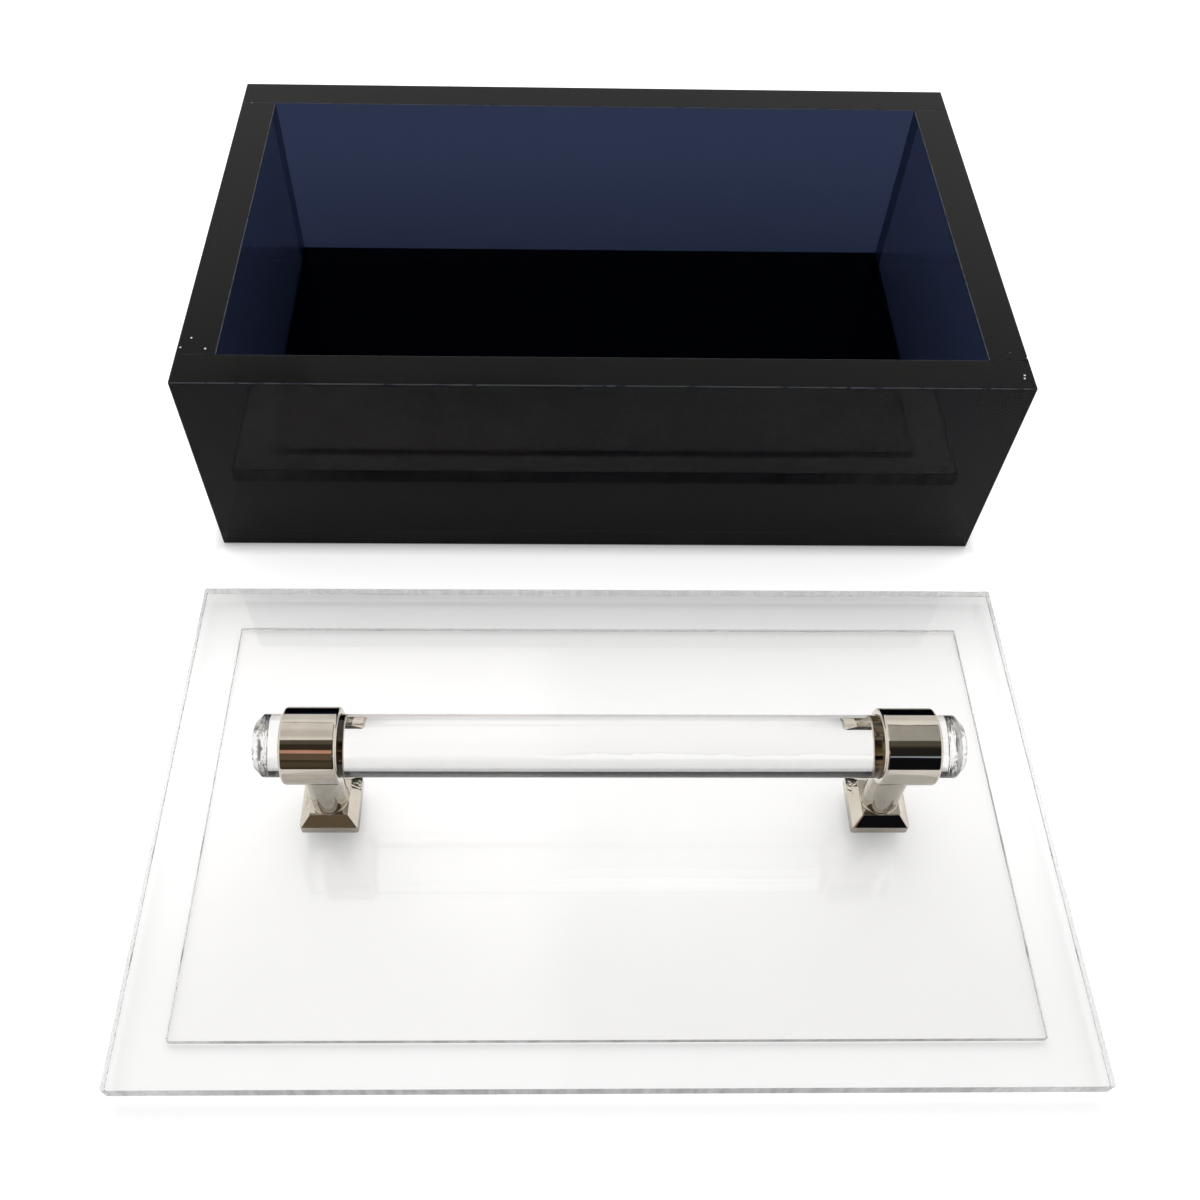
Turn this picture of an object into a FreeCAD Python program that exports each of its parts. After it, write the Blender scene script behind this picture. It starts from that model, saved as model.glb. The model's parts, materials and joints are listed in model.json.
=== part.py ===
import FreeCAD, Part
import math
import os

# Storage box of thick dark acrylic sheet, with a clear acrylic lid that lies in front of it.
# The origin is the middle of the box's underside. X runs along the width, Y towards the back, Z up.
# All lengths are in millimetres.

# Box: five panels bonded edge to face
box_width = 254.0
box_depth = 152.4
box_height = 76.2
wall_thickness = 12.0
floor_thickness = 12.0
edge_break = 0.4

# Lid: a cover plate with a thinner locating plate bonded under it
lid_thickness = 6.0
locating_thickness = 3.0
locating_clearance = 0.8
lid_edge_break = 0.4
lid_gap = 25.0

# Handle rod: a clear bar with a cone at each end
post_spacing = 155.0
rod_height = 36.6
rod_diameter = 16.5
rod_overhang = 7.2
rod_end_chamfer = 3.2

# Post: collar and column in one piece
collar_diameter = 20.2
collar_length = 14.6
collar_rim_round = 0.8
collar_bore_clearance = 0.1
column_diameter = 10.4
column_foot_break = 0.2

# Base: square foot with sloped sides and a round pad under the column
base_side = 16.2
base_edge_height = 3.3
base_slope_height = 2.7
base_top_side = 9.6
base_corner_round = 0.8
base_top_corner_round = 0.4
pad_lip = 0.25
pad_height = 0.5
pad_rim_round = 0.2

# Handle screws: countersunk, from under the lid up into the columns
screw_diameter = 4.0
screw_head_diameter = 7.6
screw_head_rim = 0.2
screw_head_recess = 0.3
screw_engagement = 9.0
screw_tip_room = 1.0
screw_hole_clearance = 0.2
thread_clearance = 0.1

# Grub screws: in the back of each collar, with the tip in a dimple of the rod
grub_diameter = 3.0
grub_recess = 0.2
dimple_depth = 1.0
dimple_room = 0.2

# How far a cutting shape runs past the face that it cuts
overrun = 1.0

# Places that follow from the sizes above
half_width = box_width / 2
half_depth = box_depth / 2
inner_half_width = half_width - wall_thickness
inner_half_depth = half_depth - wall_thickness
lid_middle = -(box_depth + lid_gap)
lid_underside = locating_thickness
lid_top = lid_underside + lid_thickness
base_top = lid_top + base_edge_height + base_slope_height
column_foot = base_top + pad_height
rod_axis = lid_top + rod_height
rod_length = post_spacing + collar_length + 2 * rod_overhang
post_places = [-post_spacing / 2, post_spacing / 2]

origin = FreeCAD.Vector(0, 0, 0)
axis_x = FreeCAD.Vector(1, 0, 0)
axis_y = FreeCAD.Vector(0, 1, 0)
axis_z = FreeCAD.Vector(0, 0, 1)


def point(x, y, z):
    return FreeCAD.Vector(x, y, z)


def block(low, high):
    """A box between two opposite corners."""
    size = high - low
    return Part.makeBox(size.x, size.y, size.z, low)


def middle_of(edge):
    return edge.BoundBox.Center


def eased(solid, size, wanted):
    """The solid with a small chamfer on each edge whose middle the test accepts."""
    edges = [edge for edge in solid.Edges if wanted(middle_of(edge))]
    return solid.makeChamfer(size, edges)


def polyline(points):
    """Straight edges from point to point."""
    return [Part.makeLine(start, end) for start, end in zip(points, points[1:])]


def turned(half_section, axis):
    """A solid of revolution about an axis through the origin, from the edges of a closed half section."""
    face = Part.Face(Part.Wire(Part.__sortEdges__(half_section)))
    return face.revolve(origin, axis, 360)


def rounded_square(side, corner, height):
    """A closed wire: a square with round corners, centred on the Z axis at the given height."""
    half = side / 2
    flat = half - corner
    on_arc = flat + corner * math.sqrt(0.5)
    edges = []
    for turn in range(4):
        side_and_corner = [
            Part.makeLine(point(half, -flat, height), point(half, flat, height)),
            Part.Arc(
                point(half, flat, height), point(on_arc, on_arc, height), point(flat, half, height)
            ).toShape(),
        ]
        for edge in side_and_corner:
            edge.rotate(origin, axis_z, 90 * turn)
        edges += side_and_corner
    return Part.Wire(Part.__sortEdges__(edges))


def make_long_wall(side):
    """Front wall (side -1) or back wall (side 1), over the full width. Edges inside the joints stay sharp."""
    inner, outer = side * inner_half_depth, side * half_depth
    wall = block(
        point(-half_width, min(inner, outer), 0),
        point(half_width, max(inner, outer), box_height),
    )
    jointed_reach = inner_half_depth + edge_break

    def free_edge(middle):
        return middle.z > box_height - edge_break or abs(middle.y) > jointed_reach

    return eased(wall, edge_break, free_edge)


def make_side_wall(side):
    """Left wall (side -1) or right wall (side 1), butted between front and back walls."""
    inner, outer = side * inner_half_width, side * half_width
    wall = block(
        point(min(inner, outer), -inner_half_depth, 0),
        point(max(inner, outer), inner_half_depth, box_height),
    )
    jointed_reach = inner_half_width + edge_break

    def free_long_edge(middle):
        runs_along_wall = abs(middle.y) < edge_break
        return runs_along_wall and (middle.z > box_height - edge_break or abs(middle.x) > jointed_reach)

    return eased(wall, edge_break, free_long_edge)


def make_floor_panel():
    return block(
        point(-inner_half_width, -inner_half_depth, 0),
        point(inner_half_width, inner_half_depth, floor_thickness),
    )


def screw_section(grow, low, high):
    """Half section of a countersunk screw, made larger all round by grow, from one height to another.

    The head's cone has a right angle between its sides, so it is as tall as it narrows.
    """
    head = screw_head_diameter / 2 + grow
    shank = screw_diameter / 2 + grow
    rim_top = screw_head_recess + screw_head_rim
    cone_top = rim_top + head - shank
    return polyline([
        point(0, 0, low),
        point(head, 0, low),
        point(head, 0, rim_top),
        point(shank, 0, cone_top),
        point(shank, 0, high),
        point(0, 0, high),
        point(0, 0, low),
    ])


def at_both_posts(shape):
    """Two copies of a shape that is drawn on the Z axis, one under each end of the handle."""
    copies = []
    for x in post_places:
        copy = shape.copy()
        copy.translate(point(x, lid_middle, 0))
        copies.append(copy)
    return Part.makeCompound(copies)


def screw_passages():
    """What the handle screws need cut out of the plates and the bases."""
    section = screw_section(screw_hole_clearance, -overrun, column_foot + overrun)
    return at_both_posts(turned(section, axis_z))


def make_lid_plate():
    plate = block(
        point(-half_width, lid_middle - half_depth, lid_underside),
        point(half_width, lid_middle + half_depth, lid_top),
    )
    plate = eased(plate, lid_edge_break, lambda middle: True)
    return plate.cut(screw_passages())


def make_locating_plate():
    """The plate that drops into the box's opening. Its upper edges are inside the bond and stay sharp."""
    half_x = inner_half_width - locating_clearance
    half_y = inner_half_depth - locating_clearance
    plate = block(
        point(-half_x, lid_middle - half_y, 0),
        point(half_x, lid_middle + half_y, lid_underside),
    )
    plate = eased(plate, lid_edge_break, lambda middle: middle.z < lid_underside - lid_edge_break)
    return plate.cut(screw_passages())


def grub_hole(x, from_axis):
    """A round cut for a grub screw, from a distance behind the rod's axis out past the collar."""
    length = collar_diameter / 2 + overrun - from_axis
    start = point(x, lid_middle + from_axis, rod_axis)
    return Part.makeCylinder(grub_diameter / 2 + thread_clearance, length, start, axis_y)


def make_handle_rod():
    radius = rod_diameter / 2
    end_radius = radius - rod_end_chamfer
    half = rod_length / 2
    section = polyline([
        point(-half, 0, 0),
        point(-half, 0, end_radius),
        point(-half + rod_end_chamfer, 0, radius),
        point(half - rod_end_chamfer, 0, radius),
        point(half, 0, end_radius),
        point(half, 0, 0),
        point(-half, 0, 0),
    ])
    rod = turned(section, axis_x)
    rod.translate(point(0, lid_middle, rod_axis))
    for x in post_places:
        rod = rod.cut(grub_hole(x, radius - dimple_depth - dimple_room))
    return rod


def make_column():
    """A straight turned column on the Z axis, with its foot's edge broken, up to the rod's axis."""
    radius = column_diameter / 2
    section = polyline([
        point(0, 0, column_foot),
        point(radius - column_foot_break, 0, column_foot),
        point(radius, 0, column_foot + column_foot_break),
        point(radius, 0, rod_axis),
        point(0, 0, rod_axis),
        point(0, 0, column_foot),
    ])
    return turned(section, axis_z)


def make_collar():
    """A short round bar across the top of the column, with round outer rims. The bore is cut later."""
    collar = Part.makeCylinder(
        collar_diameter / 2, collar_length, point(-collar_length / 2, 0, rod_axis), axis_x
    )
    rims = [edge for edge in collar.Edges if edge.Closed]
    return collar.makeFillet(collar_rim_round, rims)


def make_post(x):
    bore_length = collar_length + 2 * overrun
    bore = Part.makeCylinder(
        rod_diameter / 2 + collar_bore_clearance,
        bore_length,
        point(-bore_length / 2, 0, rod_axis),
        axis_x,
    )
    screw_hole = Part.makeCylinder(
        screw_diameter / 2 + thread_clearance,
        overrun + screw_engagement + screw_tip_room,
        point(0, 0, column_foot - overrun),
        axis_z,
    )
    post = make_collar().fuse(make_column()).removeSplitter().cut(bore).cut(screw_hole)
    post.translate(point(x, lid_middle, 0))
    return post.cut(grub_hole(x, 0))


def make_pad():
    """The round pad that the column stands on. It is wider than the base's top and runs into the slopes."""
    depth = base_slope_height + pad_height
    pad = Part.makeCylinder(column_diameter / 2 + pad_lip, depth, point(0, 0, column_foot - depth), axis_z)
    upper_rim = [edge for edge in pad.Edges if edge.Closed and middle_of(edge).z > base_top]
    return pad.makeFillet(pad_rim_round, upper_rim)


def make_base(x):
    edge_top = lid_top + base_edge_height
    low_wire = rounded_square(base_side, base_corner_round, lid_top)
    edge_wire = rounded_square(base_side, base_corner_round, edge_top)
    top_wire = rounded_square(base_top_side, base_top_corner_round, base_top)
    foot = Part.makeLoft([low_wire, edge_wire], True, True)
    slopes = Part.makeLoft([edge_wire, top_wire], True, True)
    base = foot.fuse([slopes, make_pad()]).removeSplitter()
    base.translate(point(x, lid_middle, 0))
    return base.cut(screw_passages())


def make_handle_screws():
    section = screw_section(0, screw_head_recess, column_foot + screw_engagement)
    return at_both_posts(turned(section, axis_z))


def make_rod_set_screws():
    tip = rod_diameter / 2 - dimple_depth
    length = collar_diameter / 2 - grub_recess - tip
    grub = Part.makeCylinder(grub_diameter / 2, length, point(0, tip, rod_axis), axis_y)
    return at_both_posts(grub)


left_place, right_place = post_places
parts = {
    "front_wall": make_long_wall(-1),
    "back_wall": make_long_wall(1),
    "left_wall": make_side_wall(-1),
    "right_wall": make_side_wall(1),
    "floor_panel": make_floor_panel(),
    "lid_plate": make_lid_plate(),
    "locating_plate": make_locating_plate(),
    "handle_rod": make_handle_rod(),
    "left_post": make_post(left_place),
    "right_post": make_post(right_place),
    "left_base": make_base(left_place),
    "right_base": make_base(right_place),
    "handle_screws": make_handle_screws(),
    "rod_set_screws": make_rod_set_screws(),
}

os.makedirs("parts", exist_ok=True)
for name, shape in parts.items():
    shape.exportStep(f"parts/{name}.step")
    print(name, len(shape.Solids), "solid(s)", round(shape.Volume, 1), "mm3, valid:", shape.isValid())
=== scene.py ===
import json
import math

import bmesh
import bpy
import numpy as np
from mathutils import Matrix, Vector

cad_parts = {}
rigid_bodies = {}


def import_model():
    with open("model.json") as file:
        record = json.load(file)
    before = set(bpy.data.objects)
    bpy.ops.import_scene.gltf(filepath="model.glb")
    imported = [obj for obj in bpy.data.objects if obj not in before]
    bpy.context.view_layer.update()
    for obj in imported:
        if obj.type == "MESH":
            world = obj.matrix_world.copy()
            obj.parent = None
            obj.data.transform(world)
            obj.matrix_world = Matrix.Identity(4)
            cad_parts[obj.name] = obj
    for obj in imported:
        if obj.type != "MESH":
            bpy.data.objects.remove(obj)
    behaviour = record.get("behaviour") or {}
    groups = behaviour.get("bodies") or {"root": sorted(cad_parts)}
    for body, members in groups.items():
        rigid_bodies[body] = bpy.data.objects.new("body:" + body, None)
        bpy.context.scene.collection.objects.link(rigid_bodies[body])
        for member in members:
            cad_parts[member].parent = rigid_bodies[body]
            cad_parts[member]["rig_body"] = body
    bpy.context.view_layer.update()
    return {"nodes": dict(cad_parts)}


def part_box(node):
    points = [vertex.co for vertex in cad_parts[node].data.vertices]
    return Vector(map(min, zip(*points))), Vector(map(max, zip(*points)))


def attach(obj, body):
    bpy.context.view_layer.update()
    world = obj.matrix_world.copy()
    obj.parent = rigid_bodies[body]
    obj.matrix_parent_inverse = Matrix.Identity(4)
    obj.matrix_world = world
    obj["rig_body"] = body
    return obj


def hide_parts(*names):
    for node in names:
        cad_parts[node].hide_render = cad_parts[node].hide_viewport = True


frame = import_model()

# Dark acrylic box with a clear lid laid in front of it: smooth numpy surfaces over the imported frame
mm = 0.001
fineHold = 0.05 * mm  # how close the guard points stand to the arcs of small details
mergeDistance = 1e-7
scene = bpy.context.scene
print("frame loaded:", len(frame["nodes"]), "nodes")


# Mesh helpers: every piece is a grid of rings, and each ring goes once round the piece

def unit(vector):
    return vector / np.linalg.norm(vector)


def boxOf(node):
    # Lower and upper corner of a CAD node
    return [np.array(corner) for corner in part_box(node)]


def middleOf(node):
    low, high = boxOf(node)
    return (low + high) / 2


def cornerArc(corner, back, onward, radius, steps, hold):
    # Arc between two straight runs that leave the corner in the directions back and onward. The spoke from
    # the arc's middle turns from start to end: (sin((1 - t) a) start + sin(t a) end) / sin(a), t = 0 to 1.
    # A guard point close to either end of the arc keeps the runs flat when the surface is shaded smooth.
    halfAngle = math.acos(np.clip(back @ onward, -1, 1)) / 2
    reach = radius / math.tan(halfAngle)
    middle = corner + unit(back + onward) * radius / math.sin(halfAngle)
    start, end = corner + back * reach, corner + onward * reach
    turn = math.pi - 2 * halfAngle
    share = np.linspace(0, 1, steps + 1)[:, None]
    spokes = np.sin((1 - share) * turn) * (start - middle) + np.sin(share * turn) * (end - middle)
    return np.concatenate([[start + back * hold], middle + spokes / math.sin(turn), [end + onward * hold]])


def softCorners(corners, rounds, closed=False, steps=6, hold=0.12 * mm):
    # A polyline whose corners become arcs of the given radii. The ends of an open one stay as they are.
    corners = np.asarray(corners, float)
    rounds = np.broadcast_to(rounds, len(corners))
    ends = () if closed else (0, len(corners) - 1)
    stretches = []
    for place, (corner, radius) in enumerate(zip(corners, rounds)):
        if place in ends:
            stretches.append(corner[None])
            continue
        back = unit(corners[place - 1] - corner)
        onward = unit(corners[(place + 1) % len(corners)] - corner)
        stretches.append(cornerArc(corner, back, onward, radius, steps, hold))
    return np.concatenate(stretches)


def turnAngles(segments):
    return np.linspace(0, 2 * math.pi, segments, endpoint=False)[None]


def turnedRings(profile, axis, centre, segments=128):
    # Surface of revolution: (along, radius) of the profile and the angle round the axis give the point
    angle = turnAngles(segments)
    along = profile[:, :1] + 0 * angle
    across = profile[:, 1:] * np.cos(angle)
    up = profile[:, 1:] * np.sin(angle)
    order = {"x": (along, across, up), "y": (up, along, across), "z": (across, up, along)}[axis]
    return np.stack(order, -1) + np.asarray(centre)


def uprightRings(radius, angle, height, centre):
    # Rings about an upright axis: x = radius cos(angle), y = radius sin(angle), moved to the centre
    rings = np.stack([radius * np.cos(angle), radius * np.sin(angle), height], -1)
    return rings + (centre[0], centre[1], 0)


def atHeight(outline, height):
    return np.column_stack([outline, np.full(len(outline), height)])


def ringFaces(rows, columns, loop):
    # Quads between each ring and the next, as vertex numbers of the flattened grid
    row = np.arange(rows if loop else rows - 1)[:, None]
    column = np.arange(columns)[None]
    nextRow, nextColumn = (row + 1) % rows, (column + 1) % columns
    corners = [row * columns + column, nextRow * columns + column,
               nextRow * columns + nextColumn, row * columns + nextColumn]
    return np.stack(corners, -1)


def putMesh(name, points, faces):
    mesh = bpy.data.meshes.new(name)
    mesh.from_pydata(points.tolist(), [], faces)
    shell = bmesh.new()
    shell.from_mesh(mesh)
    bmesh.ops.remove_doubles(shell, verts=shell.verts, dist=mergeDistance)
    bmesh.ops.recalc_face_normals(shell, faces=shell.faces)
    shell.to_mesh(mesh)
    shell.free()
    mesh.polygons.foreach_set("use_smooth", np.ones(len(mesh.polygons), bool))
    piece = bpy.data.objects.new(name, mesh)
    scene.collection.objects.link(piece)
    return piece


def skin(name, *shells):
    # One piece from closed shells, each given as (rings, loop). Rings that don't loop back to the first
    # get a flat face at either end.
    points, faces, first = [], [], 0
    for rings, loop in shells:
        rows, columns = rings.shape[:2]
        faces += (first + ringFaces(rows, columns, loop)).reshape(-1, 4).tolist()
        if not loop:
            firstRing = first + np.arange(columns)
            lastRing = firstRing + (rows - 1) * columns
            faces += [firstRing.tolist(), lastRing.tolist()]
        points.append(rings.reshape(-1, 3))
        first += rows * columns
    return putMesh(name, np.concatenate(points), faces)


def dress(piece, node, material):
    # The piece stands for a CAD node: it gets the given material, rides on that node's body, and the node
    # is hidden
    piece.data.materials.append(material)
    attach(piece, frame["nodes"][node]["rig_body"])
    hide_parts(node)
    return piece


# Material helpers

def newMaterial(name):
    material = bpy.data.materials.new(name)
    material.use_nodes = True
    tree = material.node_tree
    shader = next(node for node in tree.nodes if node.type == "BSDF_PRINCIPLED")
    output = next(node for node in tree.nodes if node.type == "OUTPUT_MATERIAL")
    return material, tree, shader, output


def feed(tree, socket, value):
    # A socket is linked, anything else becomes the input's own value
    if isinstance(value, bpy.types.NodeSocket):
        tree.links.new(value, socket)
    else:
        socket.default_value = value


def addNode(tree, kind, settings=None, **inputs):
    # A node with its settings, and its inputs by name, or by number as in0, in1 and so on
    node = tree.nodes.new(kind)
    for key, value in (settings or {}).items():
        setattr(node, key, value)
    for key, value in inputs.items():
        byNumber = key.startswith("in") and key[2:].isdigit()
        feed(tree, node.inputs[int(key[2:]) if byNumber else key], value)
    return node


def mathNode(tree, operation, first, second=0.0):
    return addNode(tree, "ShaderNodeMath", {"operation": operation}, in0=first, in1=second).outputs[0]


def chain(tree, operation, values):
    # One operation over two or more values, from the left
    result = values[0]
    for value in values[1:]:
        result = mathNode(tree, operation, result, value)
    return result


def product(tree, *values):
    return chain(tree, "MULTIPLY", values)


def largest(tree, *values):
    return chain(tree, "MAXIMUM", values)


def amount(tree, value):
    return mathNode(tree, "ABSOLUTE", value)


def remainder(tree, share):
    return mathNode(tree, "SUBTRACT", 1.0, share)


def ramp(tree, value, low, high, toLow=0.0, toHigh=1.0, smooth=True):
    # Goes from toLow to toHigh while the value goes from low to high, and stays level outside that
    kind = "SMOOTHSTEP" if smooth else "LINEAR"
    node = addNode(tree, "ShaderNodeMapRange", {"interpolation_type": kind, "clamp": True}, Value=value)
    for key, number in (("From Min", low), ("From Max", high), ("To Min", toLow), ("To Max", toHigh)):
        node.inputs[key].default_value = number
    return node.outputs["Result"]


def mixColour(tree, factor, first, second):
    # first where the factor is 0, second where it is 1; each a colour or a socket
    node = addNode(tree, "ShaderNodeMix", {"data_type": "RGBA"}, Factor=factor)
    for number, colour in ((6, first), (7, second)):  # the node's two colour inputs
        linked = isinstance(colour, bpy.types.NodeSocket)
        feed(tree, node.inputs[number], colour if linked else (*colour, 1))
    return node.outputs[2]


def grey(tree, level):
    return addNode(tree, "ShaderNodeCombineColor", Red=level, Green=level, Blue=level).outputs[0]


def objectPoint(tree):
    return addNode(tree, "ShaderNodeTexCoord").outputs["Object"]


def objectNormal(tree):
    return addNode(tree, "ShaderNodeTexCoord").outputs["Normal"]


def split(tree, vector):
    return addNode(tree, "ShaderNodeSeparateXYZ", Vector=vector).outputs


def noise(tree, point, scale, detail=3.0, rough=0.6, stretch=(1, 1, 1)):
    spread = addNode(tree, "ShaderNodeMapping", Vector=point, Scale=stretch)
    return addNode(tree, "ShaderNodeTexNoise", Vector=spread.outputs[0], Scale=scale, Detail=detail,
                   Roughness=rough).outputs["Fac"]


def specks(tree, point, scale, size, keep):
    # Tiny dots at the middles of Voronoi cells: only cells whose random number is below keep have one
    cells = addNode(tree, "ShaderNodeTexVoronoi", {"feature": "F1"}, Vector=point, Scale=scale)
    dot = ramp(tree, cells.outputs["Distance"], size, size * 0.4)
    chosen = addNode(tree, "ShaderNodeSeparateColor", Color=cells.outputs["Color"]).outputs[0]
    return product(tree, dot, mathNode(tree, "LESS_THAN", chosen, keep))


def addBump(tree, shader, height, strength, distance):
    bump = addNode(tree, "ShaderNodeBump", Strength=strength, Distance=distance, Height=height)
    tree.links.new(bump.outputs[0], shader.inputs["Normal"])


# Dark tinted acrylic: clear at the surface, with the tint in its depth

darkAcrylic = {
    "ior": 1.49,
    "shine": (0.1, 0.1, 0.098),
    "surfaceTint": (0.20, 0.24, 0.36),
    "depthTint": (0.105, 0.15, 0.285),
    "density": 190.0,
    # lighter grey on the rounded edges: partly scuffing, partly a painted highlight along the rims
    "edgeScuffAndSheen": (0.12, 0.12, 0.118),
    "edgeScuffAndSheenCover": 0.7,
    "scuffAndSheenScale": 260,
    "leastScuffAndSheen": 0.4,
    "rimFade": (0.5 * mm, 0.3 * mm),  # the rim's finish starts and is whole this far below the top
    "outsideReach": 0.3 * mm,
    "seamWidth": 0.2 * mm,
    "seamColour": (0.003, 0.003, 0.003),
    "seamCover": 0.8,
    "glueReach": 9 * mm,
    "glue": {"scale": 420, "size": 0.18, "keep": 0.26},
    "dust": {"scale": 90, "size": 0.02, "keep": 0.14},
    "dustCover": 0.4,
    "speckColour": (0.8, 0.8, 0.8),
    "speckFrom": 0.05,
    "smearScale": 14,
    "smearRoughness": 0.03,
    "waveScale": 9,
    "waveStrength": 0.04,
    "waveDepth": 0.2 * mm,
}


def edgeMask(tree):
    # 1 on the rounds between two faces, 0 on the faces, by the largest product of two parts of the normal:
    # it is 0 on a face and 0.5 in the middle of a round
    x, y, z = split(tree, objectNormal(tree))
    pairs = [amount(tree, product(tree, *pair)) for pair in ((x, y), (y, z), (z, x))]
    return ramp(tree, largest(tree, *pairs), 0.2, 0.45)


def seamDistance(tree, x, y):
    # Distance along the depth from the joints between the end walls and the long walls. A metre is added
    # away from the end walls, so that nothing there counts as near.
    wallLow, wallHigh = boxOf("right_wall")
    atEnd = mathNode(tree, "GREATER_THAN", amount(tree, x), wallLow[0])
    offset = mathNode(tree, "SUBTRACT", amount(tree, y), wallHigh[1])
    return mathNode(tree, "ADD", amount(tree, offset), remainder(tree, atEnd))


def makeDarkAcrylic():
    plan = darkAcrylic
    material, tree, shader, output = newMaterial("darkAcrylic")
    point = objectPoint(tree)
    x, y, z = split(tree, point)
    rimTop, outerFace = boxOf("front_wall")[1][2], boxOf("right_wall")[1][0]
    onRim = ramp(tree, z, rimTop - plan["rimFade"][0], rimTop - plan["rimFade"][1])
    outside = mathNode(tree, "GREATER_THAN", amount(tree, x), outerFace - plan["outsideReach"])
    # The rounded edges turn a lighter, less clear grey in patches: partly scuffing, partly a painted
    # highlight where the rims catch the light
    scuffAndSheenPatches = ramp(tree, noise(tree, point, plan["scuffAndSheenScale"]), 0.3, 0.6, plan["leastScuffAndSheen"], 1.0)
    edge = product(tree, edgeMask(tree), scuffAndSheenPatches)
    fromSeam = seamDistance(tree, x, y)
    seam = ramp(tree, fromSeam, plan["seamWidth"], plan["seamWidth"] * 0.4)
    seam = product(tree, seam, largest(tree, onRim, outside))
    # specks of glue lie on the rim beside the seams, and dust anywhere
    nearSeam = mathNode(tree, "LESS_THAN", fromSeam, plan["glueReach"])
    glue = product(tree, specks(tree, point, **plan["glue"]), nearSeam, onRim)
    dust = product(tree, specks(tree, point, **plan["dust"]), plan["dustCover"])
    spots = largest(tree, glue, dust)
    scuffedAndSheen = product(tree, edge, plan["edgeScuffAndSheenCover"])
    cover = largest(tree, scuffedAndSheen, spots, product(tree, seam, plan["seamCover"]))
    colour = mixColour(tree, edge, plan["surfaceTint"], plan["edgeScuffAndSheen"])
    colour = mixColour(tree, seam, colour, plan["seamColour"])
    spotted = mathNode(tree, "GREATER_THAN", spots, plan["speckFrom"])
    colour = mixColour(tree, spotted, colour, plan["speckColour"])
    smear = ramp(tree, noise(tree, point, plan["smearScale"]), 0.6, 0.9, 0.0, plan["smearRoughness"])
    tree.links.new(colour, shader.inputs["Base Color"])
    tree.links.new(remainder(tree, cover), shader.inputs["Transmission Weight"])
    tree.links.new(smear, shader.inputs["Roughness"])
    wave = noise(tree, point, plan["waveScale"], 1, 0.4)
    addBump(tree, shader, wave, plan["waveStrength"], plan["waveDepth"])
    shader.inputs["IOR"].default_value = plan["ior"]
    shader.inputs["Specular Tint"].default_value = (*plan["shine"], 1)
    depth = addNode(tree, "ShaderNodeVolumeAbsorption", Color=(*plan["depthTint"], 1),
                    Density=plan["density"])
    tree.links.new(depth.outputs[0], output.inputs["Volume"])
    return material


# Clear acrylic: plates and rod

clearAcrylic = {
    "ior": 1.49,
    "tint": (0.99, 0.987, 0.983),
    "smearScale": 18,
    "smearRoughness": 0.02,
    "dust": {"scale": 70, "size": 0.02, "keep": 0.02},
    "dustCover": 0.6,
    "waveScale": 8,
    "waveHeight": 0.03,
    "bumpDepth": 0.2 * mm,
}

sawnEnds = {
    "frost": 0.35,
    "roughness": 0.05,
    "fade": 0.1 * mm,
    "grainScale": 700,
    "chip": (0.32, 0.32, 0.31),
    "chipInner": 0.5 * mm,  # how far chips reach from the cone's edges
    "chipOuter": 0.6 * mm,
    "chipGain": 0.14,
    "chipLevel": (0.62, 0.64),
    "faceReach": 0.02 * mm,
}

sawnEdges = {
    "frost": 0.75,
    "sideClear": 0.6,
    "streakScale": 260,
    "streakStretch": (1, 1, 0.08),
    "leastStreak": 0.6,
}


def sawRodEnds(tree, shader, output, point, looks):
    # The cone at each end is sawn: a little rough, with chips at both its edges and frost on the end face
    plan = sawnEnds
    end = boxOf("handle_rod")[1][0]
    start = end - handleRod["endChamfer"]
    along = amount(tree, split(tree, point)[0])
    sawn = ramp(tree, along, start - plan["fade"], start + plan["fade"])
    endFace = mathNode(tree, "GREATER_THAN", along, end - plan["faceReach"])
    nearStart = ramp(tree, along, start + plan["chipInner"], start)
    nearEnd = mathNode(tree, "SUBTRACT", ramp(tree, along, end - plan["chipOuter"], end), endFace)
    grain = noise(tree, point, plan["grainScale"], 3, 0.7)
    atEdge = product(tree, largest(tree, nearStart, nearEnd), plan["chipGain"])
    chipped = product(tree, ramp(tree, mathNode(tree, "ADD", grain, atEdge), *plan["chipLevel"]), sawn)
    looks["solid"] = largest(tree, looks["solid"], product(tree, endFace, plan["frost"]), chipped)
    looks["roughness"] = mathNode(tree, "ADD", looks["roughness"], product(tree, sawn, plan["roughness"]))
    looks["height"] = mathNode(tree, "ADD", looks["height"], product(tree, sawn, grain))
    colour = mixColour(tree, chipped, clearAcrylic["tint"], plan["chip"])
    tree.links.new(colour, shader.inputs["Base Color"])


def sawPlateEdges(tree, shader, output, point, looks):
    # The upright edges of the plates are sawn: streaked and only half clear, less so at the sides
    plan = sawnEdges
    sideways, _, upward = split(tree, objectNormal(tree))
    upright = ramp(tree, amount(tree, upward), 0.5, 0.2)
    inFront = remainder(tree, product(tree, amount(tree, sideways), plan["sideClear"]))
    streaks = noise(tree, point, plan["streakScale"], stretch=plan["streakStretch"])
    streaks = ramp(tree, streaks, 0.3, 0.7, plan["leastStreak"], 1.0)
    frost = product(tree, upright, inFront, streaks, plan["frost"])
    looks["solid"] = largest(tree, looks["solid"], frost)
    # light on its way to the table passes the faces, and is stopped by the upright edges
    letThrough = mixColour(tree, upright, (1, 1, 1), (0, 0, 0))
    passed = addNode(tree, "ShaderNodeBsdfTransparent", Color=letThrough)
    path = addNode(tree, "ShaderNodeLightPath")
    either = addNode(tree, "ShaderNodeMixShader", in0=path.outputs["Is Shadow Ray"], in1=shader.outputs[0],
                     in2=passed.outputs[0])
    tree.links.new(either.outputs[0], output.inputs["Surface"])


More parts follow.
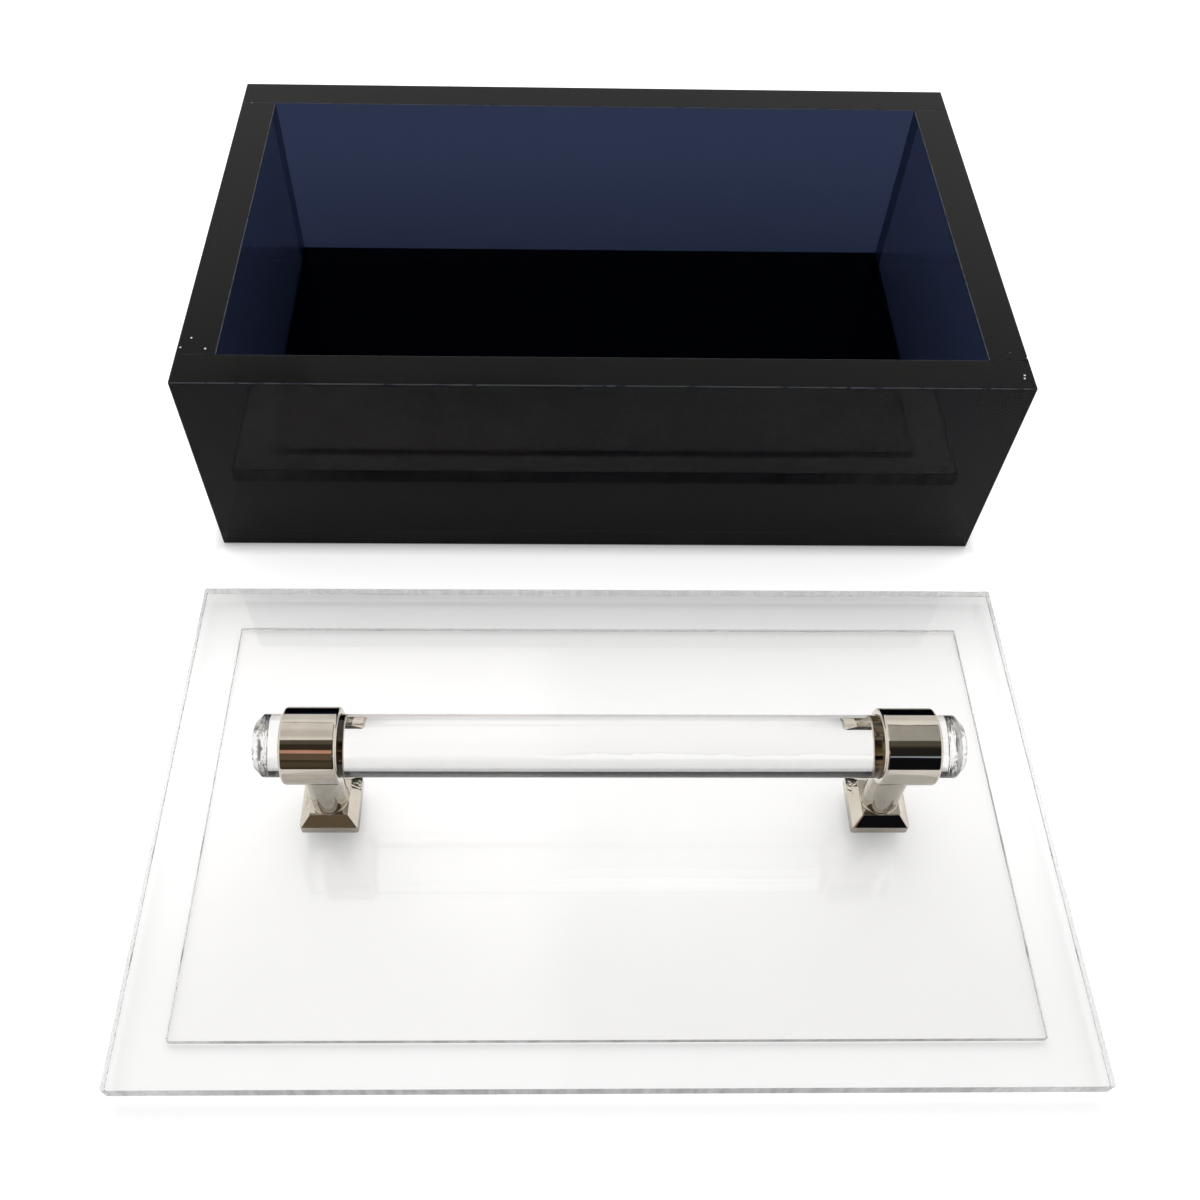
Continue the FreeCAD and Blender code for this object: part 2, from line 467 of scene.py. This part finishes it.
def makeClearAcrylic(name, addSawnPlaces):
    # Smears, a little dust and a slight wave all over, and then the places where the piece is sawn
    plan = clearAcrylic
    material, tree, shader, output = newMaterial(name)
    point = objectPoint(tree)
    smear = noise(tree, point, plan["smearScale"])
    looks = {
        "roughness": ramp(tree, smear, 0.6, 0.9, 0.0, plan["smearRoughness"]),
        "solid": product(tree, specks(tree, point, **plan["dust"]), plan["dustCover"]),
        "height": product(tree, noise(tree, point, plan["waveScale"], 1, 0.4), plan["waveHeight"]),
    }
    addSawnPlaces(tree, shader, output, point, looks)
    tree.links.new(looks["roughness"], shader.inputs["Roughness"])
    tree.links.new(remainder(tree, looks["solid"]), shader.inputs["Transmission Weight"])
    addBump(tree, shader, looks["height"], 1.0, plan["bumpDepth"])
    shader.inputs["Base Color"].default_value = (*plan["tint"], 1)
    shader.inputs["IOR"].default_value = plan["ior"]
    return material


# Polished nickel and plain screw steel

nickel = {
    "colour": (0.66, 0.61, 0.53), "roughness": (0.015, 0.06),
    "waveScale": 60, "waveStrength": 0.05, "waveStretch": (1, 1, 1),
}
footNickel = {**nickel, "waveScale": 520, "waveStrength": 0.3, "waveStretch": (0.07, 1, 1.2)}
screwSteel = {
    "colour": (0.52, 0.51, 0.50), "roughness": (0.18, 0.38),
    "waveScale": 900, "waveStrength": 0.3, "waveStretch": (1, 1, 1),
}
metalCloud = {"scale": 160, "darkest": 0.94, "lightest": 1.04, "waveDepth": 0.1 * mm}


def makeMetal(name, plan):
    material, tree, shader, output = newMaterial(name)
    point = objectPoint(tree)
    cloud = noise(tree, point, metalCloud["scale"])
    dark, light = (np.array(plan["colour"]) * metalCloud[key] for key in ("darkest", "lightest"))
    tree.links.new(mixColour(tree, ramp(tree, cloud, 0.3, 0.7), dark, light), shader.inputs["Base Color"])
    tree.links.new(ramp(tree, cloud, 0.35, 0.75, *plan["roughness"]), shader.inputs["Roughness"])
    wave = noise(tree, point, plan["waveScale"], 2, 0.5, plan["waveStretch"])
    addBump(tree, shader, wave, plan["waveStrength"], metalCloud["waveDepth"])
    shader.inputs["Metallic"].default_value = 1.0
    return material


# Box: five panels. Each ring is a rectangle with soft corners, drawn in as the profile goes over an edge.

boxPanels = {
    "edgeRound": 0.4 * mm,
    "jointRound": 0.04 * mm,
    "leastRound": 0.02 * mm,
    "bond": 0.05 * mm,  # how far a panel runs into the ones it is glued to
    "bondedInset": 0.1,  # share of the edge's inset that a glued side takes
}


def cornerRectangle(low, high, rounds):
    # Rectangle between two corners, with the round of each corner in turn
    corners = [(low[0], low[1]), (high[0], low[1]), (high[0], high[1]), (low[0], high[1])]
    return softCorners(corners, rounds, closed=True, steps=4)


def panelRings(low, high, cornerRounds, drawIn, edgeRound):
    # Profile (inset, height) over the panel's lower and upper edges. drawIn says how much of the inset
    # the X and Y sides take, so an edge inside a joint stays sharp.
    run = edgeRound * 2
    rings = []
    for inset, height in softCorners([(run, low[2]), (0, low[2]), (0, high[2]), (run, high[2])], edgeRound):
        take = np.array(drawIn) * inset
        rounds = np.maximum(np.array(cornerRounds) - inset / 2, boxPanels["leastRound"])
        rings.append(atHeight(cornerRectangle(low[:2] + take, high[:2] - take, rounds), height))
    return np.array(rings)


def makeBox(material):
    edge, joint, bond = boxPanels["edgeRound"], boxPanels["jointRound"], boxPanels["bond"]
    glued = boxPanels["bondedInset"]
    # for each panel: the rounds of its four corners, how far its X and Y sides draw in, and how far it
    # runs into its neighbours
    plans = {
        "front_wall": ([edge, edge, joint, joint], (1, 1), (0, 0, 0)),
        "back_wall": ([joint, joint, edge, edge], (1, 1), (0, 0, 0)),
        "left_wall": ([joint] * 4, (1, glued), (0, bond, 0)),
        "right_wall": ([joint] * 4, (1, glued), (0, bond, 0)),
        "floor_panel": ([joint] * 4, (glued, glued), (bond, bond, 0)),
    }
    for node, (rounds, drawIn, grow) in plans.items():
        low, high = boxOf(node)
        rings = panelRings(low - grow, high + grow, rounds, drawIn, edge)
        dress(skin("visual_" + node, (rings, False)), node, material)
    print("box panels made")


# Lid: two plates with a screw hole under each end of the handle

lidPlates = {
    "edgeRound": 0.4 * mm,
    "cornerRound": 0.5 * mm,
    "bond": 0.05 * mm,
    "holeRadius": 2.2 * mm,
    "sinkRadius": 4.0 * mm,
    "sinkRim": 0.5 * mm,
    "holeRound": 0.06 * mm,
    "holeFlat": 0.4 * mm,
    "sidePoints": 20,
    "seamPoints": 24,
}


def halfOutline(halfX, halfY):
    # Right half of a plate's outline, from the seam at X = 0 along the front, round the end, along the back
    # and down the seam again
    front, back = (0, -halfY), (0, halfY)
    corners = [front, (halfX, -halfY), (halfX, halfY), back]
    nearArc, farArc = np.split(softCorners(corners, lidPlates["cornerRound"], steps=4)[1:-1], 2)
    sidePoints, seamPoints = lidPlates["sidePoints"], lidPlates["seamPoints"]
    return np.concatenate([
        np.linspace(front, nearArc[0], sidePoints)[:-1],
        nearArc,
        np.linspace(nearArc[-1], farArc[0], sidePoints)[1:-1],
        farArc,
        np.linspace(farArc[-1], back, sidePoints)[1:],
        np.linspace(back, front, seamPoints + 2)[1:-1],
    ])


def plateHalf(halfX, halfY, low, high, holeX, holeProfile):
    # Rings over the rim, from the top face down to the lower face, and then up the hole. Each point of
    # a hole's ring lies at the angle at which the hole sees the outline. The seam stays open, and the other
    # half closes it.
    edge = lidPlates["edgeRound"]
    run = edge * 3
    rim = softCorners([(run, high), (0, high), (0, low), (run, low)], edge)
    outline = halfOutline(halfX, halfY)
    angle = np.arctan2(outline[:, 1], outline[:, 0] - holeX)
    rings = [atHeight(halfOutline(halfX - inset, halfY - inset), height) for inset, height in rim]
    for radius, height in holeProfile:
        circle = np.column_stack([holeX + radius * np.cos(angle), radius * np.sin(angle)])
        rings.append(atHeight(circle, height))
    rings = np.array(rings)
    faces = ringFaces(*rings.shape[:2], loop=True)
    keep = np.ones(faces.shape[:2], bool)
    keep[:len(rim) - 1, len(outline) - lidPlates["seamPoints"] - 1:] = False
    return rings.reshape(-1, 3), faces[keep]


def makePlate(node, material, grow, holeProfile):
    low, high = boxOf(node)
    high[2] += grow
    middle, half = (low + high) / 2, (high - low) / 2
    holeX = middleOf("right_post")[0]
    points, faces = plateHalf(half[0], half[1], low[2], high[2], holeX, holeProfile(low[2], high[2]))
    faces = np.concatenate([faces, faces[:, ::-1] + len(points)]).tolist()
    points = np.concatenate([points, points * (-1, 1, 1)]) + (middle[0], middle[1], 0)
    piece = dress(putMesh("visual_" + node, points, faces), node, material)
    piece.visible_diffuse = False  # the table is lit as if the plate's faces were not there


def straightHole(low, high):
    hole, flat = lidPlates["holeRadius"], lidPlates["holeFlat"]
    corners = [(hole + flat, low), (hole, low), (hole, high), (hole + flat, high)]
    return softCorners(corners, lidPlates["holeRound"], steps=3)


def sunkHole(low, high):
    # The countersink's cone has a right angle between its sides, so it is as tall as it narrows
    hole, flat = lidPlates["holeRadius"], lidPlates["holeFlat"]
    sink, rim = lidPlates["sinkRadius"], lidPlates["sinkRim"]
    corners = [(sink + flat, low), (sink, low), (sink, rim), (hole, rim + sink - hole), (hole, high),
               (hole + flat, high)]
    return softCorners(corners, lidPlates["holeRound"], steps=3, hold=fineHold)


def makeLid(material):
    makePlate("lid_plate", material, 0, straightHole)
    makePlate("locating_plate", material, lidPlates["bond"], sunkHole)
    print("lid plates made")


# Handle rod: a long revolved bar with a sawn cone at each end

handleRod = {"endChamfer": 1.9 * mm, "edgeRound": 0.2 * mm, "capRadius": 0.3 * mm, "segments": 192}


def makeRod(material):
    low, high = boxOf("handle_rod")
    half, radius = (high[0] - low[0]) / 2, (high[2] - low[2]) / 2
    chamfer, cap = handleRod["endChamfer"], handleRod["capRadius"]
    corners = [(-half, cap), (-half, radius - chamfer), (-half + chamfer, radius),
               (half - chamfer, radius), (half, radius - chamfer), (half, cap)]
    profile = softCorners(corners, handleRod["edgeRound"])
    rings = turnedRings(profile, "x", (low + high) / 2, handleRod["segments"])
    piece = dress(skin("visual_handle_rod", (rings, False)), "handle_rod", material)
    piece.visible_shadow = False  # the lid and the table are lit as if the rod were not there
    piece.visible_diffuse = False
    print("rod made")


# Posts: a collar round the rod and a straight column under it

postNodes = ("left_post", "right_post")
post = {
    "rimRound": 0.8 * mm,
    "boreRound": 0.25 * mm,
    "boreClearance": 0.1 * mm,
    "columnRadius": 5.2 * mm,
    "footRound": 0.2 * mm,
    "screwHole": 2.1 * mm,
    "screwHoleDepth": 10 * mm,
    "holeRound": 0.1 * mm,
    "tipRadius": 0.02 * mm,
    "topShares": (1.0, 1.0, 0.7, 0.3, 0.02),  # radii of the rings over the column's top
    "topDepth": 0.2 * mm,  # how far the column's upper edge is sunk in the collar
    "grubHole": 1.6 * mm,
    "grubCutStart": 1 * mm,
    "grubCutLength": 4 * mm,
    "grubSegments": 48,
    "segments": 160,
    "sharpAngle": 40,
}


def columnRings(low, axisHeight, outer, bore, centre):
    # Rings down the screw hole, out over the foot, up the column and over its top. The top follows
    # cylinders about the rod's axis, height = axis - sqrt(reach^2 - across^2), hidden in the collar's wall.
    radius, hole = post["columnRadius"], post["screwHole"]
    holeTop = low + post["screwHoleDepth"]
    corners = [(post["tipRadius"], holeTop), (hole, holeTop), (hole, low), (radius, low),
               (radius, axisHeight)]
    rounds = [0, post["holeRound"], post["holeRound"], post["footRound"], 0]
    profile = softCorners(corners, rounds, hold=fineHold)[:-1]
    angle = turnAngles(post["segments"])
    topRadius = radius * np.array(post["topShares"])[:, None]
    reach = np.full_like(topRadius, (outer + bore) / 2)
    reach[0] = outer - post["topDepth"]
    topHeight = axisHeight - np.sqrt(reach**2 - (topRadius * np.sin(angle)) ** 2)
    around = np.concatenate([profile[:, :1], topRadius])
    height = np.concatenate([profile[:, 1:] + 0 * angle, topHeight])
    return uprightRings(around, angle, height, centre)


def cutGrubHole(piece, start):
    # A round hole along Y, cut with a cylinder that is thrown away afterwards
    tip, radius, length = post["tipRadius"], post["grubHole"], post["grubCutLength"]
    profile = np.array([(0, tip), (0, radius), (length, radius), (length, tip)])
    cutter = skin("cutter", (turnedRings(profile, "y", start, post["grubSegments"]), False))
    cut = piece.modifiers.new("hole", "BOOLEAN")
    cut.object, cut.operation, cut.solver = cutter, "DIFFERENCE", "EXACT"
    finished = piece.evaluated_get(bpy.context.evaluated_depsgraph_get())
    mesh = bpy.data.meshes.new_from_object(finished)
    piece.modifiers.remove(cut)
    piece.data = mesh
    bpy.data.objects.remove(cutter)
    mesh.set_sharp_from_angle(angle=math.radians(post["sharpAngle"]))


def makePosts(material):
    rodLow, rodHigh = boxOf("handle_rod")
    bore = (rodHigh[2] - rodLow[2]) / 2 + post["boreClearance"]
    for node in postNodes:
        low, high = boxOf(node)
        x, y, _ = middleOf(node)
        half, outer, _ = (high - low) / 2
        axisHeight = high[2] - outer
        corners = [(-half, bore), (half, bore), (half, outer), (-half, outer)]
        rounds = [post["boreRound"], post["boreRound"], post["rimRound"], post["rimRound"]]
        section = softCorners(corners, rounds, closed=True)
        collar = turnedRings(section, "x", (x, y, axisHeight), post["segments"])
        column = columnRings(low[2], axisHeight, outer, bore, (x, y))
        piece = skin("visual_" + node, (collar, True), (column, False))
        cutGrubHole(piece, (x, y + bore - post["grubCutStart"], axisHeight))
        dress(piece, node, material)
    print("posts made")


# Bases: square foot with four slopes, as rounded squares that shrink upwards, and a round pad on top

base = {
    "side": 16.2 * mm, "corner": 0.8 * mm, "edgeHeight": 3.3 * mm,
    "topSide": 10.8 * mm, "topCorner": 0.4 * mm, "slopeHeight": 2.7 * mm,
    "padRadius": 5.45 * mm, "holeRadius": 2.2 * mm,
    "edgeRound": 0.22 * mm, "padRound": 0.2 * mm,
    "roundUntil": 1.2,  # rings are circles up to this many times the hole's radius
    "squareFrom": 0.9,  # and square from this share of the top's half side
    "cornerFrom": 40,  # degrees from the middle of a side, where points stand closer together
    "sidePoints": 33, "cornerPoints": 11,
}


def squareAngles():
    # Angles round a square, from the middle of each side in turn, closer together near the corners
    nearCorner = np.linspace(base["cornerFrom"], 45, base["cornerPoints"])
    alongSide = np.linspace(-base["cornerFrom"], base["cornerFrom"], base["sidePoints"])
    quarter = np.concatenate([-nearCorner[:0:-1], alongSide, nearCorner[1:-1]])
    return np.radians(np.concatenate([quarter + turn for turn in (0, 90, 180, 270)]))[None]


def squareRadius(angle, half, corner):
    # Distance from the middle to a rounded square at an angle: the flat side, or the corner's arc.
    # A corner as large as the half side gives a circle.
    fold = np.abs((angle + math.pi / 4) % (math.pi / 2) - math.pi / 4)
    flat = half - corner
    onSide = half / np.cos(fold)
    gap = np.cos(fold) - np.sin(fold)
    onArc = flat * (np.cos(fold) + np.sin(fold)) + np.sqrt(np.maximum(corner**2 - (flat * gap) ** 2, 0))
    return np.where(half * np.tan(fold) <= flat, onSide, onArc)


def footRings(low, edgeTop, centre):
    # Section (half width, height) of the foot, carried round a square whose corners get rounder at the hole
    half, topHalf, hole = base["side"] / 2, base["topSide"] / 2, base["holeRadius"]
    top = edgeTop + base["slopeHeight"]
    corners = [(hole, low), (half, low), (half, edgeTop), (topHalf, top), (hole, top)]
    section = softCorners(corners, base["edgeRound"], closed=True, hold=fineHold)
    angle = squareAngles()
    width, height = section[:, :1], section[:, 1:] + 0 * angle
    widths = [hole * base["roundUntil"], topHalf * base["squareFrom"], topHalf, half]
    topShare = base["topCorner"] / topHalf
    roundShare = np.interp(width, widths, [1, topShare, topShare, base["corner"] / half])
    return uprightRings(squareRadius(angle, width, width * roundShare), angle, height, centre)


def padRings(low, high, centre):
    hole, radius = base["holeRadius"], base["padRadius"]
    corners = [(low, hole), (low, radius), (high, radius), (high, hole)]
    section = softCorners(corners, base["padRound"], closed=True, hold=fineHold)
    return turnedRings(section, "z", (centre[0], centre[1], 0))


def makeBases(material):
    for node in ("left_base", "right_base"):
        low, high = boxOf(node)
        centre = middleOf(node)
        edgeTop = low[2] + base["edgeHeight"]
        foot = footRings(low[2], edgeTop, centre)
        pad = padRings(edgeTop, high[2], centre)
        dress(skin("visual_" + node, (foot, True), (pad, True)), node, material)
    print("bases made")


# Screws: a countersunk screw under each post, and a grub screw in the back of each collar

handleScrew = {
    "headRadius": 3.8 * mm, "headRim": 0.2 * mm, "headHeight": 2.0 * mm,
    "shankRadius": 2.0 * mm, "shankStart": 2.05 * mm, "shankRings": 160, "tipBreak": 0.4 * mm,
    "pitch": 0.7 * mm, "threadDepth": 0.3 * mm, "threadFrom": 4 * mm, "threadEnd": 0.6 * mm,
    "socketRadius": 1.35 * mm, "socketDepth": 1.3 * mm,
}
grubScrew = {"rimBreak": 0.15 * mm, "socketRadius": 0.75 * mm, "socketDepth": 0.8 * mm, "rodGap": 0.05 * mm}
screwSegments = 60


def hexRadius(angle, across):
    # Distance from the middle to a hexagon at an angle
    fold = (angle + math.pi / 6) % (math.pi / 3) - math.pi / 6
    return across / np.cos(fold)


def handleScrewRings(low, high, angle, centre):
    # Revolved body with a hex socket below and a helical groove above: in the thread the radius drops
    # by a triangle wave of height and angle
    plan = handleScrew
    head, shank = plan["headRadius"], plan["shankRadius"]
    shankHeights = np.linspace(low + plan["shankStart"], high - plan["tipBreak"], plan["shankRings"])
    profile = np.concatenate([
        [(head, low), (head, low + plan["headRim"]), (shank, low + plan["headHeight"])],
        np.column_stack([np.full(plan["shankRings"], shank), shankHeights]),
        [(shank - plan["tipBreak"], high)],
    ])
    radius, height = profile[:, :1], profile[:, 1:]
    phase = (height / plan["pitch"] - angle / (2 * math.pi)) % 1
    groove = np.abs(2 * phase - 1) * plan["threadDepth"]
    threaded = (height > plan["threadFrom"]) & (height < high - plan["threadEnd"])
    socket = hexRadius(angle, plan["socketRadius"])
    around = np.concatenate([socket, socket, radius - np.where(threaded, groove, 0)])
    socketHeights = np.array([[low + plan["socketDepth"]], [low]])
    return uprightRings(around, angle, np.concatenate([socketHeights, height]) + 0 * angle, centre)


def makeHandleScrews(material):
    low, high = boxOf("handle_screws")
    angle = turnAngles(screwSegments)
    shells = [(handleScrewRings(low[2], high[2], angle, middleOf(node)), False) for node in postNodes]
    dress(skin("visual_handle_screws", *shells), "handle_screws", material)


def makeGrubScrews(material):
    # Rings from the bottom of the hex socket out over the face, round its edge and in to the tip, along Y
    low, high = boxOf("rod_set_screws")
    angle = turnAngles(screwSegments)
    tip = boxOf("handle_rod")[1][1] + grubScrew["rodGap"]
    edge, face = grubScrew["rimBreak"], high[1]
    socket = hexRadius(angle, grubScrew["socketRadius"])
    rim = np.full_like(angle, (high[2] - low[2]) / 2)
    around = np.concatenate([socket, socket, rim - edge, rim, rim])
    depths = np.array([face - grubScrew["socketDepth"], face, face, face - edge, tip])[:, None]
    across, depth, up = around * np.cos(angle), depths + 0 * angle, around * np.sin(angle)
    axisHeight = (low[2] + high[2]) / 2
    shells = []
    for node in postNodes:
        rings = np.stack([middleOf(node)[0] + across, depth, axisHeight + up], -1)
        shells.append((rings, False))
    dress(skin("visual_rod_set_screws", *shells), "rod_set_screws", material)


# Studio: pale floor, soft light from all round and the camera of the photograph

studio = {
    "floorColour": (0.85, 0.85, 0.85),
    "floorGrain": 40,
    "floorFront": -0.43,
    "floorReach": 3.0,
    "floorDrop": 0.15 * mm,
    "skyLevel": 0.35,
    "keyLevel": 2.8,
    "keyTilt": -20,
    "keyFocus": 6,
    "skyMirrored": (1.0, 1.0, 0.98),
    "cameraPlace": (-0.01588, -0.32721, 0.32805),
    "cameraTurn": (36.2814, -1.0596, -0.4671),
    "lens": 36.237,
    "sensor": 36,
    "shift": (0.02138, -0.0259),
    "nearest": 0.01,
}

# The floor's glow: its level to the eye, in mirrors and through clear pieces, and its share that is left
# towards the front. Round the box the glow is held back, which paints the box's shadow on the table.
# Distances are from the box's outline: out to the sides, to the back or to the front.
floorGlow = {
    "seen": 0.58,
    "mirrored": 0.06,
    "through": 0.28,
    "frontShare": 0.45,
    "boxEdge": (-3 * mm, 6 * mm),
    "besideRise": (3 * mm, 36 * mm),
    "paintedShadowBehind": (0, 100 * mm),
    "frontRise": (0, 60 * mm),
    "frontFade": (80 * mm, 160 * mm),
    # painted shade in the table's mirror images round the lid: how much darker, and where
    "dimming": 0.18,
    "dimmedFrom": (85 * mm, 105 * mm),
    "dimmedSide": (-20 * mm, -24 * mm),
}

# What the polished metal mirrors of the dark room in front: tilt from and to in degrees, counted from
# the front horizon over the top, softness, side (-1 left, 1 right, 0 both) and colour
roomBands = [
    (144, 190, 6.0, 0, (0.78, 0.78, 0.77)),
    (-40, 78, 1.5, 0, (0.045, 0.036, 0.025)),
    (86, 126, 6.0, -1, (0.70, 0.69, 0.67)),
    (110, 126, 9.0, -1, (0.92, 0.90, 0.87)),
    (131, 135, 1.5, -1, (0.60, 0.60, 0.58)),
    (66, 78, 3.0, -1, (0.11, 0.10, 0.08)),
    (39, 49, 1.5, -1, (0.68, 0.36, 0.27)),
    (19, 38, 2.0, -1, (0.145, 0.108, 0.074)),
    (-4, 14, 3.0, -1, (0.09, 0.07, 0.045)),
    (78, 126, 3.0, 1, (0.44, 0.435, 0.42)),
    (125.5, 128.5, 0.8, 1, (0.09, 0.085, 0.075)),
    (62, 78, 4.0, 1, (0.10, 0.095, 0.075)),
    (26, 57, 3.0, 1, (0.02, 0.019, 0.017)),
    (29, 33, 1.0, 1, (0.34, 0.42, 0.52)),
    (-40, 28, 1.0, 1, (0.006, 0.006, 0.008)),
]
room = {
    "wobbleScale": 9, "wobbleStretch": (1, 0.2, 0.2), "wobble": 1.5,
    "raggedScale": 40, "raggedStretch": (1, 0, 0), "ragged": 4.0,
    "raggedRise": (112, 120), "raggedFall": (136, 130),
    "width": (0.60, 0.52), "middle": 0.03,
}


def glowLevel(tree, path, beside, behind, inFront):
    # The glow shows to the eye, in mirrors and through clear pieces, but not under the dark box, and it
    # comes up over a few millimetres round the box's foot, a painted contact shadow. Through clear pieces
    # it comes up slowly round the box, which paints the box's shadow on the table seen through the walls
    # and the lid.
    # Towards the front it is weaker, so that the soft shadows of the lid's edges show.
    plan = floorGlow
    seen = product(tree, path.outputs["Is Camera Ray"], plan["seen"])
    seen = largest(tree, seen, product(tree, path.outputs["Is Glossy Ray"], plan["mirrored"]))
    # painted contact shadow: no glow under the box, coming up just outside its foot
    seen = product(tree, seen, ramp(tree, largest(tree, beside, behind, inFront), *plan["boxEdge"]))
    # painted shadow of the box on the table, as seen through the walls and the lid
    outOfPaintedShadow = largest(tree, ramp(tree, beside, *plan["besideRise"]), ramp(tree, behind, *plan["paintedShadowBehind"]),
                    ramp(tree, inFront, *plan["frontRise"]))
    through = product(tree, path.outputs["Is Transmission Ray"], plan["through"], outOfPaintedShadow)
    fade = ramp(tree, inFront, *plan["frontFade"], 1.0, plan["frontShare"])
    return product(tree, mathNode(tree, "ADD", seen, through), fade)


def paintedMirrorShade(tree, path, beside, inFront):
    # Painted shade in reflections: where polished metal mirrors the table round the lid, the table is made
    # darker than the eye sees it. That leaves out the lid's sides, where the plates' own edges mirror the
    # table.
    mirrored = mathNode(tree, "GREATER_THAN", path.outputs["Glossy Depth"], 0.5)
    roundLid = ramp(tree, inFront, *floorGlow["dimmedFrom"])
    betweenSides = ramp(tree, beside, *floorGlow["dimmedSide"])
    return product(tree, mirrored, roundLid, betweenSides)


def makeFloorMaterial():
    material, tree, shader, output = newMaterial("paleFloor")
    tree.nodes.remove(shader)
    point = objectPoint(tree)
    x, y, _ = split(tree, point)
    boxX, boxY, _ = boxOf("back_wall")[1]
    beside = mathNode(tree, "SUBTRACT", amount(tree, x), boxX)
    behind = mathNode(tree, "SUBTRACT", y, boxY)
    inFront = mathNode(tree, "SUBTRACT", product(tree, y, -1.0), boxY)
    path = addNode(tree, "ShaderNodeLightPath")
    # painted shade on the table, only where polished metal mirrors it
    mirrorShade = paintedMirrorShade(tree, path, beside, inFront)
    grain = ramp(tree, noise(tree, point, studio["floorGrain"]), 0.3, 0.7, 0.985, 1.0)
    grain = product(tree, grain, remainder(tree, product(tree, mirrorShade, floorGlow["dimming"])))
    colour = mixColour(tree, grain, (0, 0, 0), studio["floorColour"])
    matt = addNode(tree, "ShaderNodeBsdfDiffuse", Color=colour)
    level = product(tree, glowLevel(tree, path, beside, behind, inFront), remainder(tree, mirrorShade))
    glow = addNode(tree, "ShaderNodeEmission", Strength=level)
    both = addNode(tree, "ShaderNodeAddShader", in0=matt.outputs[0], in1=glow.outputs[0])
    tree.links.new(both.outputs[0], output.inputs["Surface"])
    return material


def makeFloor():
    mesh = bpy.data.meshes.new("floor")
    front, reach, height = studio["floorFront"], studio["floorReach"], -studio["floorDrop"]
    corners = [(-reach, front, height), (reach, front, height),
               (reach, reach, height), (-reach, reach, height)]
    mesh.from_pydata(corners, [], [(0, 1, 2, 3)])
    mesh.materials.append(makeFloorMaterial())
    floor = bpy.data.objects.new("floor", mesh)
    scene.collection.objects.link(floor)


def mirroredRoom(tree, direction):
    # Bands of colour by the direction's tilt, which wobbles a little
    sideways, y, z = split(tree, direction)
    tilt = mathNode(tree, "ARCTAN2", z, product(tree, y, -1.0))
    tilt = product(tree, tilt, 180 / math.pi)
    wobble = noise(tree, direction, room["wobbleScale"], stretch=room["wobbleStretch"])
    wobble = ramp(tree, wobble, 0.3, 0.7, -room["wobble"], room["wobble"], smooth=False)
    tilt = mathNode(tree, "ADD", tilt, wobble)
    # things far at the back have a ragged outline
    ragged = noise(tree, direction, room["raggedScale"], 4, 0.7, room["raggedStretch"])
    ragged = ramp(tree, ragged, 0.3, 0.7, -room["ragged"], room["ragged"], smooth=False)
    farBack = product(tree, ramp(tree, tilt, *room["raggedRise"]), ramp(tree, tilt, *room["raggedFall"]))
    tilt = mathNode(tree, "ADD", tilt, product(tree, ragged, farBack))
    within = ramp(tree, amount(tree, sideways), *room["width"])
    sides = {0: within}
    for side in (-1, 1):
        middle = room["middle"] * side
        sides[side] = product(tree, within, ramp(tree, sideways, -middle, middle))
    colour = studio["skyMirrored"]
    for low, high, soft, side, tone in roomBands:
        rise, fall = ramp(tree, tilt, low - soft, low + soft), ramp(tree, tilt, high + soft, high - soft)
        colour = mixColour(tree, product(tree, rise, fall, sides[side]), colour, tone)
    return colour


def makeSurroundings():
    world = bpy.data.worlds.new("softStudio")
    world.use_nodes = True
    scene.world = world
    tree = world.node_tree
    background = next(node for node in tree.nodes if node.type == "BACKGROUND")
    direction = addNode(tree, "ShaderNodeTexCoord").outputs["Generated"]
    path = addNode(tree, "ShaderNodeLightPath")
    shown = largest(tree, path.outputs["Is Camera Ray"], path.outputs["Is Transmission Ray"])
    # soft key light: level * cos(angle from the key's direction) ^ focus, on top of the even sky
    tilt = math.radians(studio["keyTilt"])
    facing = addNode(tree, "ShaderNodeVectorMath", {"operation": "DOT_PRODUCT"}, in0=direction,
                     in1=(0, -math.sin(tilt), math.cos(tilt))).outputs["Value"]
    key = mathNode(tree, "POWER", largest(tree, facing, 0.0), studio["keyFocus"])
    light = mathNode(tree, "ADD", product(tree, key, studio["keyLevel"]), studio["skyLevel"])
    plain = mixColour(tree, shown, grey(tree, light), (1, 1, 1))
    whole = mixColour(tree, path.outputs["Is Glossy Ray"], plain, mirroredRoom(tree, direction))
    tree.links.new(whole, background.inputs["Color"])


def makeCamera():
    data = bpy.data.cameras.new("photoCamera")
    data.sensor_width = studio["sensor"]
    data.lens = studio["lens"]
    data.shift_x, data.shift_y = studio["shift"]
    data.clip_start = studio["nearest"]
    camera = bpy.data.objects.new("photoCamera", data)
    camera.location = studio["cameraPlace"]
    camera.rotation_euler = [math.radians(turn) for turn in studio["cameraTurn"]]
    scene.collection.objects.link(camera)
    scene.camera = camera


scene.view_settings.view_transform = "Standard"
scene.cycles.diffuse_bounces = 2
scene.cycles.glossy_bounces = 20
scene.cycles.transmission_bounces = 20
scene.cycles.max_bounces = 30
makeCamera()
makeFloor()
makeSurroundings()
print("studio made")

makeBox(makeDarkAcrylic())
makeLid(makeClearAcrylic("clearPlate", sawPlateEdges))
makeRod(makeClearAcrylic("clearRod", sawRodEnds))
makePosts(makeMetal("polishedNickel", nickel))
makeBases(makeMetal("polishedFoot", footNickel))
steelMaterial = makeMetal("screwSteel", screwSteel)
makeHandleScrews(steelMaterial)
makeGrubScrews(steelMaterial)
print("screws made")
